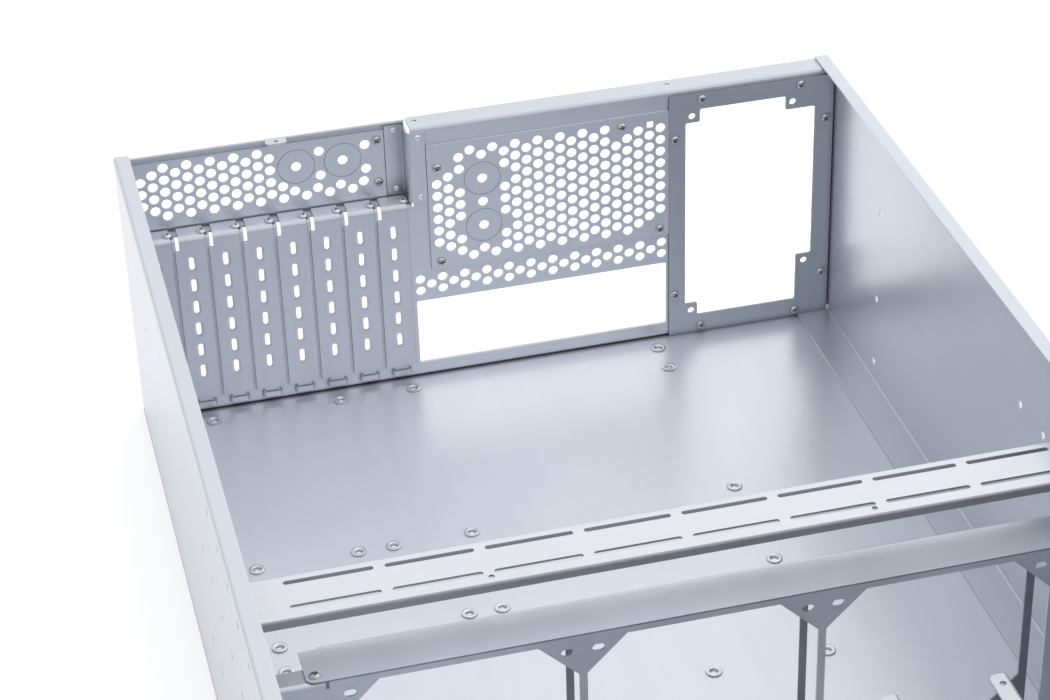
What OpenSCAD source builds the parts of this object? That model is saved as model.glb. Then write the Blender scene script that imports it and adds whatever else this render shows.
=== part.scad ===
// Rackmount server case, open at the top: tray, folded side walls, a rear
// panel with vents, slot covers and a power supply plate, a cross bar, a fan
// wall, drive dividers and a front with rack ears and handles.
// Millimetres. +X is the right side seen from the front, +Y the rear and
// +Z up. The origin is the middle of the underside of the whole part.

/* [Case] */
// Width over the side walls
case_width = 439; // [436:0.5:444]
// Height over the side walls
case_height = 175.9; // [175.5:0.1:177]
// Depth from the front panel's face to the walls' rear end
body_depth = 650; // [640:1:700]
// Thickness of the steel sheet
sheet = 1.2; // [1:0.1:1.3]
// Outer radius of a fold in that sheet
bend_radius = 2.3; // [2.1:0.1:2.5]
// Width of a wall's top flange
wall_top_flange = 9.3; // [8:0.1:9.5]
// Width of a wall's foot on the tray
wall_foot = 21.8; // [20:0.1:22]
// Height of the tray's front lip
tray_lip = 12; // [8:1:14]

/* [Rear panel] */
// From the walls' rear end to the panel's inner face
panel_recess = 15.1; // [15:0.1:16]
// Height of the shelf that carries the slot covers' tabs
shelf_height = 123.7; // [123:0.1:124.5]
// Right edge of the corner above the shelf
corner_edge_x = -47.4; // [-47.6:0.1:-47.3]
// Width of the board connector opening
io_width = 158.75; // [157:0.05:159]
// Height of the board connector opening
io_height = 44.45; // [43:0.05:45]
// Diameter of a vent hole
vent_hole = 6; // [5:0.1:6.2]
// Distance between vent holes in a column
vent_pitch = 8.03; // [7.9:0.01:8.1]
// Diameter of a cable knock-out
knockout = 22.5; // [20:0.5:23]

/* [Slot covers] */
// Distance between expansion slots
slot_pitch = 20.32; // [20.3:0.01:20.34]
// Width of a cover
cover_width = 18.4; // [18:0.1:18.8]
// Thickness of a cover
cover_sheet = 1; // [0.8:0.1:1]
// Height of one vent in a cover
cover_vent = 8.5; // [7:0.1:10]

/* [Power supply plate] */
// Width of the plate
psu_width = 104.7; // [104:0.1:104.8]
// Height of the plate
psu_height = 169.7; // [169:0.1:170]
// Diameter of a power supply screw hole
psu_hole = 4.3; // [4:0.1:4.6]

/* [Cross bar] */
// Height of the bar's top
bar_height = 151.7; // [145:0.1:160]
// Width of the bar from front to rear
bar_width = 34; // [32:0.5:36]
// Height of the bar's front and rear flanges
bar_flange = 5; // [4:0.5:8]
// Length of a slot in the bar
bar_slot = 43.6; // [38:0.1:45]

/* [Fan wall] */
// Height of the wall's top
fan_wall_height = 124.2; // [123:0.1:125]
// Width and height of a fan opening
fan_opening = 116.4; // [112:0.1:116.5]
// Distance between fan centres
fan_pitch = 120.35; // [120.3:0.05:120.5]
// Distance between a fan's screw holes
fan_holes = 105; // [104.5:0.1:105.5]
// Thickness of the fans between the two plates
fan_depth = 25; // [24.5:0.1:25.5]

/* [Drive dividers] */
// Height of a divider's top
divider_height = 105.7; // [104:0.1:108]
// Distance between dividers
divider_pitch = 54.7; // [53:0.1:56]
// Length of a divider
divider_length = 131.5; // [110:0.5:135]

/* [Front] */
// Width over the rack ears
rack_width = 482.6; // [482:0.1:483]
// Distance between the slots of the two ears
ear_slot_span = 465.1; // [464:0.1:466]
// Distance between the slots in one ear
ear_slot_rise = 101.6; // [100:0.1:102]
// How far the handles stand in front of the panel
handle_depth = 35; // [30:1:45]
// Diameter of a handle's bar
handle_bar = 10; // [8:0.5:10]
// Distance between a handle's screws
handle_span = 110; // [90:1:120]

/* [Hidden] */
$fn = 48;
// Clearance round a screw or a rivet in its hole
hole_gap = 0.1;
// Clearance between sheets that pass each other
sheet_gap = 0.2;
// How far a cutting shape reaches past the sheet
past = 1;

rear_y = (body_depth + handle_depth) / 2;
front_y = rear_y - body_depth;
inner_x = case_width / 2 - sheet;
middle_z = case_height / 2;
// The panel's top flange lies under the walls' flanges
panel_top = case_height - sheet;
panel_y = rear_y - panel_recess;
above_foot = sheet + bend_radius + hole_gap;
// Short leg of a fold, just past its curve
fold_leg = bend_radius + hole_gap;
foot_clear_x = case_width / 2 - wall_foot - sheet_gap;
top_clear_x = case_width / 2 - wall_top_flange - sheet_gap;

// Board: its rear left hole, and the nuts from there
board_x = -180;
board_y = rear_y - 28;
board_nut_places = [[0, 0], [78.74, 0], [124.46, 0], [281.94, 0],
                    [281.94, -22.86], [0, -154.94], [58.4, -154.94],
                    [78.74, -154.94], [124.46, -154.94], [281.94, -154.94],
                    [0, -227.33], [105.9, -227.33], [124.46, -227.33],
                    [281.94, -227.33], [0, -248.9], [219.4, -312.4],
                    [283.2, -312.4]];
nut_flange = 8.8;
nut_rise = 1;
nut_shank = 6;
nut_bore = 4;

// Walls: rows of round holes, each [height, first hole from the rear, count]
wall_hole = 4.5;
rail_front = rear_y - 309.5;
rail_rear = rear_y - 99;
wall_hole_step = 30;
wall_rows = [[118, rail_front, 7], [59, rail_front, 2], [14.4, rail_rear, 1],
             [118, rail_rear, 1], [59, rail_rear, 1],
             [panel_top - 5.5, rear_y - 353, 6]];
wall_front_flange = 8;
flange_relief = 6;

// Screws with a pan head and a cross recess
screw_head = 5.6;
screw_head_height = 1.9;
screw_shank = 3;
screw_reach = 5;
big_screw_head = 6;
low_screw_head_height = 1.6;
recess_length = 3.4;
recess_width = 0.8;
recess_depth = 1.1;

// Rear panel
io_left = -47.8;
io_bottom = 10.9;
io_corner = 1;
strip_left = -44.9;
strip_z = 66.35;
strip_columns = 23;
vent_step = vent_pitch * cos(30);
panel_flange = 14.6;
corner_flange = 3.6;
corner_tab_x = -124.6;
corner_tab_y = rear_y - 6.4;
corner_tab_width = 12.6;
corner_tab_front = rear_y - 9.4;
corner_tab_corner = 2;
corner_tab_hole = 2.4;
panel_flange_holes = [-41.9, 114.2];
panel_flange_hole_y = rear_y - 6.3;
panel_flange_hole = 3.2;

// Corner vent plate
corner_plate_left = -217.5;
corner_plate_right = -60;
corner_plate_bottom = shelf_height + 1.5;
corner_plate_top = panel_top - 5;
corner_plate_y = rear_y - 2 * sheet;
corner_window_left = -208.8;
corner_window_right = -67.4;
corner_window_bottom = shelf_height + 6;
corner_window_top = panel_top - 6;
corner_field_x = -205.5;
corner_field_z = panel_top - 9.2;
corner_columns = 20;
corner_rows = 5;
corner_knockout_z = panel_top - 21.1;
corner_knockouts = [[-113.3, corner_knockout_z], [-85.3, corner_knockout_z]];
corner_pair_x = [-99.1, -71.5];
corner_plain = [[-94.2, panel_top - 33.3]];
corner_screw_z = [shelf_height + 11.5, panel_top - 11];
corner_screws = [for (z = corner_screw_z) for (x = [-211.5, -64.5]) [x, z]];

// Corner post, and the panel's left edge beside its fold
post_left = -59.6;
post_right = -38;
post_web_x = corner_edge_x - sheet_gap - sheet;
panel_edge_x = post_web_x + bend_radius + hole_gap;
post_bottom = shelf_height + bend_radius - sheet + sheet_gap;
post_top = panel_top - bend_radius - sheet_gap;
post_rivets_rear = [for (z = [panel_top - 6, shelf_height + 5.4]) [-53.9, z]];
post_rivets_front = [for (z = [panel_top - 6, shelf_height + 4.9]) [-42.3, z]];
rivet_head = 4.8;
rivet_head_height = 1;
rivet_overlap = 0.25;

// Middle vent plate, and the window behind it with a tab for each screw
middle_left = -37.6;
middle_width = 150;
middle_height = 86;
middle_bottom = panel_top - 12.4 - middle_height;
middle_top = middle_bottom + middle_height;
middle_plate_y = panel_y - sheet;
middle_field_x = 107.1;
middle_field_z = middle_top - 6.9;
middle_columns = 21;
middle_rows = 10;
middle_top_row = [5 : 2 : 17];
middle_knockouts = [[-4.1, middle_top - 27.1], [-4.1, middle_top - 59.3]];
middle_notch = [100.6, middle_top - 7.7];
notch_size = 4;
middle_screws = [[-31.55, middle_top - 15.6], [-31.55, middle_bottom + 5.6],
                 [82.8, middle_top - 6.6], [106.5, middle_bottom + 4.9]];
middle_window_sides = [2, 1.6];
middle_window_ends = [1.3, 3.3];
middle_tab = [9, 9];

// Distances that keep vent holes clear of screws and knock-outs
screw_margin = 8;
knockout_margin = 14.95;
knockout_line = 0.3;
knockout_groove = 0.4;

// Power supply plate
psu_left = 112.6;
psu_bottom = 1.3;
psu_cut = [123, 14.1, 205.5, 160.2];
psu_corner = 1.2;
psu_ears = [[9, 8.6], [18.9, 9.2], [8, 9.1], [9.8, 32.6]];
psu_hole_origin = [127, 17.9];
psu_hole_offsets = [[0, 0], [0, 138], [64, 138], [74, 24]];
psu_screws = [[133.2, 167], [195.8, 167], [116.2, 141.7], [212.4, 141.7],
              [116.2, 31.4], [212.4, 31.4], [133.2, 6.1], [195.8, 6.1]];
psu_window_margin = [2.6, 3.2];

// Slot covers
slot_x = -202.3;
slot_count = 8;
cover_bottom = 11;
cover_slit = [-8.4, -6.4];
cover_slit_bottom = 115.5;
cover_tab = 11.5;
cover_screw_x = 8.1;
cover_screw_y = panel_y + 4.2;
cover_notch = 3.6;
cover_vent_count = 6;
cover_vent_width = 3;
cover_dish = 1.3;
cover_dish_depth = 0.35;
cover_vent_top = 106.5;
cover_vent_step = 15.15;
cover_tongue = 8.6;
cover_tongue_bottom = 4.4;
slot_window = [12, 16, 112.5];
slit_reach = 5.1;
bridge_width = 12.5;
bridge_depth = 2.4;
bridge_height = 3;
bridge_z = 5.6;

// Cross bar
bar_rear_y = rear_y - 389;
bar_front_y = bar_rear_y - bar_width;
bar_slot_width = 2.9;
bar_fold = 1.4;
bar_fold_leg = bar_fold + hole_gap;
bar_slot_step = 49;
bar_slot_count = 8;
bar_slot_x = -191.8;
bar_slot_rows = [bar_rear_y - 6.15, bar_rear_y - 25.15];
bar_holes = [-96.1, 95];
bar_hole_y = bar_rear_y - 28.8;
bar_hole = 3;
bar_tab = 22;
bar_screw_z = bar_height - 13;
bar_screw_offset = 9;
bar_middle_y = bar_rear_y - bar_width / 2;

// Fan wall
fan_x = 2.6;
fan_z = 61.7;
fan_corner = 20;
fan_slot_length = 6.2;
fan_slot_width = 4.2;
fan_front_y = rear_y - 438;
fan_rear_y = fan_front_y + sheet + fan_depth;
fan_web = 1;
fan_web_half = 192.7;
fan_web_corner = 4;
fan_rear_half = 183;
fan_rear_radius = 3;
fan_relief = [1.8, 4];
fan_foot = 12;
ledge_inner = 184.1;
ledge_screw = 188.1;
ledge_screw_y = fan_front_y + 5.2;
ledge_top = fan_wall_height - fan_web;
fan_foot_screw_y = fan_rear_y + fan_web + 6.5;
nut_across = 5.5;
nut_height = 2.4;

// Drive dividers
divider_x = 132.7;
divider_flange = 10;
divider_y = rear_y - 499.8;
divider_hole = 3.3;
divider_hole_y = divider_y - 7;
divider_corner = 1.5;

// Front
grille_slot = [4, 38];
grille_step = [10, 48];
grille_columns = 37;
grille_rows = 3;
front_flange = 12;
ear_sheet = 2;
ear_radius = 3;
ear_leg = 45;
ear_slot = 10;
ear_slot_width = 6.8;
ear_corner = 3;
ear_screws_y = [front_y + 15, front_y + 35];
ear_screws_z = [32, case_height - 32];
handle_x = 206;
handle_bend = 12;
handle_bore = 3.3;
handle_screw_depth = 12;
handle_screw_reach = 10;
handle_head = 7;
handle_head_height = 2.4;
handle_shank = 4;

zinc = [0.63, 0.66, 0.71];
zinc_pale = [0.78, 0.8, 0.84];
zinc_dark = [0.5, 0.52, 0.56];
nickel = [0.72, 0.71, 0.69];
alloy = [0.7, 0.71, 0.73];

// Sheets and folds

// Sheet across the case from depth y, drawn as x and z
module across(y, t = sheet) {
    translate([0, y + t, 0]) rotate([90, 0, 0]) linear_extrude(t) children();
}

// Bar along x from x0 to x1, drawn as y and z
module along_x(x0, x1) {
    translate([x0, 0, 0]) rotate([90, 0, 90]) linear_extrude(x1 - x0) children();
}

// Bar along y from y0 to y1, drawn as x and z
module along_y(y0, y1) {
    translate([0, y1, 0]) rotate([90, 0, 0]) linear_extrude(y1 - y0) children();
}

// Bar along z from z0 to z1, drawn as x and y
module along_z(z0, z1) {
    translate([0, 0, z0]) linear_extrude(z1 - z0) children();
}

// Folded sheet: legs a along x and b along y from the outer corner
module angle_section(a, b, t = sheet, r = bend_radius) {
    translate([r, r]) intersection() {
        difference() {
            circle(r = r);
            circle(r = r - t);
        }
        translate([-r, -r]) square(r);
    }
    translate([r, 0]) square([a - r, t]);
    translate([0, r]) square([t, b - r]);
}

// Slot with round ends, its longer side along x
module obround(length, width) {
    square([length - width, width], center = true);
    for (side = [-1, 1]) {
        translate([side * (length - width) / 2, 0]) circle(d = width);
    }
}

// Rectangle with round corners, from its lower left corner
module rounded_rect(w, h, r) {
    translate([r, 0]) square([w - 2 * r, h]);
    translate([0, r]) square([w, h - 2 * r]);
    for (x = [r, w - r]) {
        for (y = [r, h - r]) translate([x, y]) circle(r = r);
    }
}

module mirrored() {
    children();
    mirror([1, 0, 0]) children();
}

// Holes and screws

function clear_of(p, spots, distance) =
    len([for (s = spots) if (norm(p - s) < distance) 1]) == 0;

module holes(places, d) {
    for (p = places) translate(p) circle(d = d);
}

module screw_holes(places) {
    holes(places, screw_shank + 2 * hole_gap);
}

// Vent holes in columns to one side of start, left out at plain spots and
// near screws and knock-outs, which keep a hole in their middle
module vent_field(start, side, columns, rows, z_low, screws, knockouts, plain = []) {
    for (i = [0 : columns - 1]) {
        for (k = [0 : rows - 1]) {
            z = start[1] - vent_pitch * (k + (i % 2) / 2);
            p = [start[0] + side * i * vent_step, z];
            kept = clear_of(p, screws, screw_margin) && clear_of(p, knockouts, knockout_margin)
                   && clear_of(p, plain, vent_hole);
            if (kept && z > z_low) translate(p) circle(d = vent_hole);
        }
    }
    holes(knockouts, vent_hole);
}

// Line pressed into the inner face of a plate at depth y round a knock-out
module knockout_lines(places, y) {
    across(y - past, past + knockout_groove) {
        for (p = places) translate(p) difference() {
            circle(d = knockout);
            circle(d = knockout - 2 * knockout_line);
        }
    }
}

// Screw with its head's underside at the origin, pointing down
module pan_screw(head = screw_head, height = screw_head_height, shank = screw_shank,
                 reach = screw_reach) {
    dome = height / 3;
    difference() {
        rotate_extrude() {
            square([head / 2 - dome, height]);
            square([head / 2, height - dome]);
            translate([head / 2 - dome, height - dome]) circle(r = dome);
            translate([0, -reach]) square([shank / 2, reach + height / 2]);
        }
        for (turn = [0, 90]) {
            rotate([0, 0, turn]) translate([0, 0, height]) {
                cube([recess_length, recess_width, 2 * recess_depth], center = true);
            }
        }
    }
}

// Screws from inside the case into a sheet whose inner face is at depth y
module screws_across(places, y, reach = screw_reach) {
    for (p = places) {
        translate([p[0], y, p[1]]) rotate([90, 0, 0]) pan_screw(reach = reach);
    }
}

module rivet() {
    rotate_extrude() {
        intersection() {
            translate([0, rivet_head_height - rivet_head / 2]) circle(d = rivet_head);
            square([rivet_head / 2, rivet_head_height]);
        }
        translate([0, -2 * sheet]) square([screw_shank / 2, 2 * sheet + rivet_overlap]);
    }
}

// Tray and board nuts

module base_tray() {
    color(zinc) {
        linear_extrude(sheet) difference() {
            translate([-case_width / 2, front_y + sheet + bend_radius]) {
                square([case_width, body_depth - sheet - bend_radius]);
            }
            for (p = board_nut_places) {
                translate([board_x + p[0], board_y + p[1]]) circle(d = nut_shank + 2 * hole_gap);
            }
            for (i = [-1 : 1]) {
                translate([fan_x + i * fan_pitch, fan_foot_screw_y]) screw_holes([[0, 0]]);
            }
        }
        along_x(-foot_clear_x, foot_clear_x) {
            translate([front_y + sheet, 0]) angle_section(fold_leg, tray_lip);
        }
    }
}

module board_nut() {
    difference() {
        union() {
            translate([0, 0, sheet]) cylinder(d = nut_flange, h = nut_rise);
            cylinder(d = nut_shank, h = sheet + nut_rise);
        }
        translate([0, 0, -past]) cylinder(d = nut_bore, h = sheet + nut_rise + 2 * past);
    }
}

module board_nuts() {
    color(nickel) for (p = board_nut_places) {
        translate([board_x + p[0], board_y + p[1], 0]) board_nut();
    }
}

// Side walls

module wall_section() {
    translate([case_width / 2, sheet]) mirror([1, 0]) angle_section(wall_foot, middle_z);
    translate([case_width / 2, case_height]) rotate(180) {
        angle_section(wall_top_flange, middle_z);
    }
}

// Right wall; the left one is its mirror image
module side_wall() {
    start = front_y + sheet;
    difference() {
        union() {
            along_y(start + bend_radius, rear_y) wall_section();
            along_z(flange_relief, case_height - flange_relief) {
                translate([case_width / 2, start]) mirror([1, 0]) {
                    angle_section(wall_front_flange, fold_leg);
                }
            }
        }
        for (row = wall_rows) {
            for (i = [0 : row[2] - 1]) {
                wall_bore(row[1] - i * wall_hole_step, row[0], wall_hole);
            }
        }
        for (side = [-1, 1]) {
            wall_bore(bar_middle_y + side * bar_screw_offset, bar_screw_z,
                      screw_shank + 2 * hole_gap);
        }
        for (y = ear_screws_y) {
            for (z = ear_screws_z) wall_bore(y, z, screw_shank + 2 * hole_gap);
        }
    }
}

module wall_bore(y, z, d) {
    translate([inner_x - past, y, z]) rotate([0, 90, 0]) cylinder(d = d, h = sheet + 2 * past);
}

module left_wall() {
    color(zinc_pale) mirror([1, 0, 0]) side_wall();
}

module right_wall() {
    color(zinc) side_wall();
}

// Rear panel

module panel_outline() {
    low = sheet + bend_radius;
    edge = inner_x - bend_radius;
    translate([-foot_clear_x, low]) {
        square([foot_clear_x + panel_edge_x, shelf_height - bend_radius - low]);
    }
    translate([panel_edge_x, low]) {
        square([foot_clear_x - panel_edge_x, panel_top - bend_radius - low]);
    }
    translate([-edge, above_foot]) {
        square([edge - foot_clear_x, shelf_height - bend_radius - above_foot]);
    }
    translate([foot_clear_x, above_foot]) {
        square([edge - foot_clear_x, panel_top - bend_radius - above_foot]);
    }
}

// Window behind the middle vent plate, with tabs for its screws
module middle_window() {
    low = [middle_left + middle_window_sides[0], middle_bottom + middle_window_ends[0]];
    high = [middle_left + middle_width - middle_window_sides[1], middle_top - middle_window_ends[1]];
    difference() {
        translate(low) square(high - low);
        for (p = middle_screws) {
            upper = p[1] > (low[1] + high[1]) / 2;
            left = p[0] < (low[0] + high[0]) / 2;
            translate(p) square(middle_tab, center = true);
            if (left) {
                translate([low[0], p[1] - middle_tab[1] / 2]) square([p[0] - low[0], middle_tab[1]]);
            } else {
                translate([p[0] - middle_tab[0] / 2, upper ? p[1] : low[1]]) {
                    square([middle_tab[0], upper ? high[1] - p[1] : p[1] - low[1]]);
                }
            }
        }
    }
}

module psu_window() {
    margin = psu_window_margin;
    low = [psu_cut[0], psu_cut[1]] - margin;
    high = [psu_cut[2], psu_cut[3]] + margin;
    translate(low) square(high - low);
}

module panel_openings() {
    translate([io_left, io_bottom]) rounded_rect(io_width, io_height, io_corner);
    for (i = [0 : strip_columns - 1]) {
        rows = i % 2 == 0 ? [-vent_pitch / 2, vent_pitch / 2] : [0];
        for (z = rows) {
            translate([strip_left + i * vent_step, strip_z + z]) circle(d = vent_hole);
        }
    }
    middle_window();
    psu_window();
    for (i = [0 : slot_count - 1]) {
        translate([slot_x + i * slot_pitch - slot_window[0] / 2, slot_window[1]]) {
            square([slot_window[0], slot_window[2] - slot_window[1]]);
        }
        translate([slot_x + i * slot_pitch - bridge_width / 2 + sheet, bridge_z]) {
            square([bridge_width - 2 * sheet, bridge_height]);
        }
    }
    screw_holes(middle_screws);
    screw_holes(psu_screws);
    screw_holes(post_rivets_front);
}

// Half of a flat arch that stands out along -y
module arch(width, depth) {
    translate([depth - width / 2, -depth]) square([width - 2 * depth, depth]);
    for (side = [-1, 1]) {
        translate([side * (width / 2 - depth), 0]) intersection() {
            circle(r = depth);
            translate([-depth, -depth]) square([2 * depth, depth]);
        }
    }
}

// Bridge pressed out of the panel that holds a cover's tongue
module cover_bridge() {
    linear_extrude(bridge_height) difference() {
        arch(bridge_width, bridge_depth);
        arch(bridge_width - 2 * sheet, bridge_depth - sheet);
    }
}

// Flat part of the corner in the rear plane, with its window
module corner_frame() {
    difference() {
        translate([-inner_x, shelf_height]) {
            square([inner_x + corner_edge_x, panel_top - bend_radius - shelf_height]);
        }
        translate([corner_window_left, corner_window_bottom]) {
            square([corner_window_right - corner_window_left,
                    corner_window_top - corner_window_bottom]);
        }
        screw_holes(corner_screws);
        screw_holes(post_rivets_rear);
    }
}

module corner_top_tab() {
    difference() {
        translate([corner_tab_x - corner_tab_width / 2, corner_tab_front]) {
            rounded_rect(corner_tab_width, rear_y - corner_flange - corner_tab_front
                         + corner_tab_corner, corner_tab_corner);
        }
        translate([corner_tab_x, corner_tab_y]) circle(d = corner_tab_hole);
    }
}

module rear_panel() {
    step = panel_recess / 2 + sheet;
    color(zinc_dark) difference() {
        union() {
            across(panel_y) difference() {
                panel_outline();
                panel_openings();
            }
            for (i = [0 : slot_count - 1]) {
                translate([slot_x + i * slot_pitch, panel_y, bridge_z]) cover_bridge();
            }
            along_x(-foot_clear_x, foot_clear_x) {
                translate([panel_y, sheet]) angle_section(panel_flange, fold_leg);
            }
            along_x(panel_edge_x, inner_x - bend_radius) {
                translate([panel_y, panel_top]) mirror([0, 1]) {
                    angle_section(panel_flange, fold_leg);
                }
            }
            along_z(above_foot + past, panel_top - flange_relief) {
                translate([inner_x, panel_y]) mirror([1, 0]) {
                    angle_section(fold_leg, panel_flange);
                }
            }
            along_z(above_foot + past, shelf_height - flange_relief) {
                translate([-inner_x, panel_y]) angle_section(fold_leg, panel_flange);
            }
            along_x(-inner_x, corner_edge_x) {
                translate([panel_y, shelf_height]) mirror([0, 1]) {
                    angle_section(step, fold_leg);
                }
                translate([rear_y, shelf_height - sheet]) mirror([1, 0]) {
                    angle_section(step, fold_leg);
                }
            }
            across(rear_y - sheet) corner_frame();
            along_x(-top_clear_x, corner_edge_x) {
                translate([rear_y, panel_top]) rotate(180) {
                    angle_section(corner_flange, fold_leg);
                }
            }
            along_z(panel_top - sheet, panel_top) corner_top_tab();
        }
        for (i = [0 : slot_count - 1]) {
            translate([slot_x + i * slot_pitch + cover_slit[0], panel_y - past, cover_slit_bottom]) {
                cube([cover_slit[1] - cover_slit[0], past + slit_reach, shelf_height]);
            }
            translate([slot_x + i * slot_pitch + cover_screw_x, cover_screw_y,
                       shelf_height - 2 * sheet]) {
                cylinder(d = screw_shank + 2 * hole_gap, h = 3 * sheet);
            }
        }
        for (x = panel_flange_holes) {
            translate([x, panel_flange_hole_y, panel_top - 2 * sheet]) {
                cylinder(d = panel_flange_hole, h = 3 * sheet);
            }
        }
    }
}

// Plates and parts on the rear panel

module corner_post() {
    color(zinc_dark) difference() {
        along_z(post_bottom, post_top) {
            translate([post_web_x + sheet, rear_y - sheet]) rotate(180) {
                angle_section(post_web_x + sheet - post_left, panel_recess / 2 + sheet);
            }
            translate([post_web_x, panel_y - sheet]) {
                angle_section(post_right - post_web_x, panel_recess / 2 + sheet);
            }
        }
        across(rear_y - 3 * sheet, 2 * sheet) screw_holes(post_rivets_rear);
        across(panel_y - 2 * sheet, 2 * sheet) screw_holes(post_rivets_front);
    }
}

module post_rivets() {
    color(nickel) {
        for (p = post_rivets_rear) {
            translate([p[0], rear_y - 2 * sheet, p[1]]) rotate([90, 0, 0]) rivet();
        }
        for (p = post_rivets_front) {
            translate([p[0], panel_y - sheet, p[1]]) rotate([90, 0, 0]) rivet();
        }
    }
}

module corner_vent_plate() {
    low = [corner_plate_left, corner_plate_bottom];
    high = [corner_plate_right, corner_plate_top];
    color(zinc_dark) difference() {
        across(corner_plate_y) difference() {
            translate(low) square(high - low);
            screw_holes(corner_screws);
            vent_field([corner_field_x, corner_field_z], 1, corner_columns, corner_rows,
                       corner_window_bottom, corner_screws, corner_knockouts, corner_plain);
            for (x = corner_pair_x) {
                for (side = [-1, 1]) {
                    translate([x, corner_knockout_z + side * vent_pitch]) circle(d = vent_hole);
                }
            }
        }
        knockout_lines(corner_knockouts, corner_plate_y);
    }
}

module middle_vent_plate() {
    color(zinc_dark) difference() {
        across(middle_plate_y) difference() {
            translate([middle_left, middle_bottom]) square([middle_width, middle_height]);
            screw_holes(middle_screws);
            translate(middle_notch) square(notch_size, center = true);
            vent_field([middle_field_x, middle_field_z - vent_pitch / 2], -1, middle_columns,
                       middle_rows, middle_bottom + vent_hole, middle_screws, middle_knockouts);
            for (i = middle_top_row) {
                translate([middle_field_x - i * vent_step, middle_field_z]) circle(d = vent_hole);
            }
        }
        knockout_lines(middle_knockouts, middle_plate_y);
    }
}

// Power supply opening, with the four corners that carry its screws left in
module psu_opening() {
    low = [psu_cut[0], psu_cut[1]];
    high = [psu_cut[2], psu_cut[3]];
    offset(psu_corner) offset(-2 * psu_corner) offset(psu_corner) difference() {
        translate(low) square(high - low);
        translate([low[0], high[1] - psu_ears[0][1]]) square(psu_ears[0]);
        translate(high - psu_ears[1]) square(psu_ears[1]);
        translate(low) square(psu_ears[2]);
        translate([high[0] - psu_ears[3][0], low[1]]) square(psu_ears[3]);
    }
}

module psu_plate() {
    color(zinc_dark) across(panel_y - sheet) difference() {
        translate([psu_left, psu_bottom]) square([psu_width, psu_height]);
        translate([foot_clear_x, 0]) square([psu_width, 2 * sheet + hole_gap]);
        psu_opening();
        holes([for (p = psu_hole_offsets) psu_hole_origin + p], psu_hole);
        screw_holes(psu_screws);
    }
}

module corner_plate_screws() {
    color(nickel) screws_across(corner_screws, corner_plate_y, 2 * sheet);
}

module middle_plate_screws() {
    color(nickel) screws_across(middle_screws, middle_plate_y);
}

module psu_plate_screws() {
    color(nickel) screws_across(psu_screws, panel_y - sheet);
}

// Slot covers

// Dish pressed round one vent, from the cover's front face
module vent_dish() {
    wide = cover_vent_width / 2 + cover_dish;
    narrow = cover_vent_width / 2;
    front = panel_y - cover_sheet;
    half = (cover_vent - cover_vent_width) / 2;
    along_z(-half, half) {
        polygon([[-wide, front], [wide, front], [narrow, front + cover_dish_depth],
                 [-narrow, front + cover_dish_depth]]);
    }
    for (z = [-half, half]) {
        translate([0, front, z]) rotate([-90, 0, 0]) {
            cylinder(r1 = wide, r2 = narrow, h = cover_dish_depth);
        }
    }
}

module slot_cover(i) {
    half = cover_width / 2;
    narrow = cover_slit[1];
    top = shelf_height - bend_radius;
    color(zinc) translate([slot_x + (i - 1) * slot_pitch, 0, 0]) {
        difference() {
            across(panel_y - cover_sheet, cover_sheet) difference() {
                union() {
                    translate([-half, cover_bottom]) {
                        square([cover_width, cover_slit_bottom - cover_bottom]);
                    }
                    translate([narrow, cover_bottom]) square([half - narrow, top - cover_bottom]);
                    translate([-cover_tongue / 2, cover_tongue_bottom]) {
                        square([cover_tongue, cover_bottom]);
                    }
                }
                for (k = [0 : cover_vent_count - 1]) {
                    translate([0, cover_vent_top - k * cover_vent_step]) rotate(90) {
                        obround(cover_vent, cover_vent_width);
                    }
                }
            }
            for (k = [0 : cover_vent_count - 1]) {
                translate([0, 0, cover_vent_top - k * cover_vent_step]) vent_dish();
            }
        }
        difference() {
            along_x(narrow, half) {
                translate([panel_y - cover_sheet, shelf_height + cover_sheet]) mirror([0, 1]) {
                    angle_section(cover_tab + cover_sheet, 2 * fold_leg, cover_sheet,
                                  bend_radius + cover_sheet);
                }
            }
            translate([cover_screw_x, cover_screw_y, shelf_height]) {
                cylinder(d = cover_notch, h = 3 * cover_sheet);
                translate([0, -cover_notch / 2, 0]) cube([half, cover_notch, 3 * cover_sheet]);
            }
        }
    }
}

module slot_cover_screws() {
    color(nickel) for (i = [0 : slot_count - 1]) {
        translate([slot_x + i * slot_pitch + cover_screw_x, cover_screw_y,
                   shelf_height + cover_sheet]) pan_screw(big_screw_head);
    }
}

// Cross bar

module bar_end() {
    along_y(bar_front_y + 2 * sheet, bar_rear_y - 2 * sheet) {
        translate([inner_x, bar_height]) rotate(180) {
            angle_section(bar_fold_leg, bar_tab, sheet, bar_fold);
        }
    }
}

module cross_bar() {
    edge = inner_x - bar_fold;
    color(zinc_pale) difference() {
        union() {
            translate([0, 0, bar_height - sheet]) linear_extrude(sheet) difference() {
                translate([-edge, bar_front_y + bar_fold]) {
                    square([2 * edge, bar_width - 2 * bar_fold]);
                }
                for (y = bar_slot_rows) {
                    for (i = [0 : bar_slot_count - 1]) {
                        translate([bar_slot_x + i * bar_slot_step + bar_slot / 2, y]) {
                            obround(bar_slot, bar_slot_width);
                        }
                    }
                }
                for (x = bar_holes) translate([x, bar_hole_y]) circle(d = bar_hole);
            }
            along_x(-edge, edge) {
                translate([bar_front_y, bar_height]) mirror([0, 1]) {
                    angle_section(bar_fold_leg, bar_flange, sheet, bar_fold);
                }
                translate([bar_rear_y, bar_height]) rotate(180) {
                    angle_section(bar_fold_leg, bar_flange, sheet, bar_fold);
                }
            }
            mirrored() bar_end();
        }
        for (side = [-1, 1]) {
            translate([-case_width, bar_middle_y + side * bar_screw_offset, bar_screw_z]) {
                rotate([0, 90, 0]) cylinder(d = screw_shank + 2 * hole_gap, h = 2 * case_width);
            }
        }
    }
}

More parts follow.
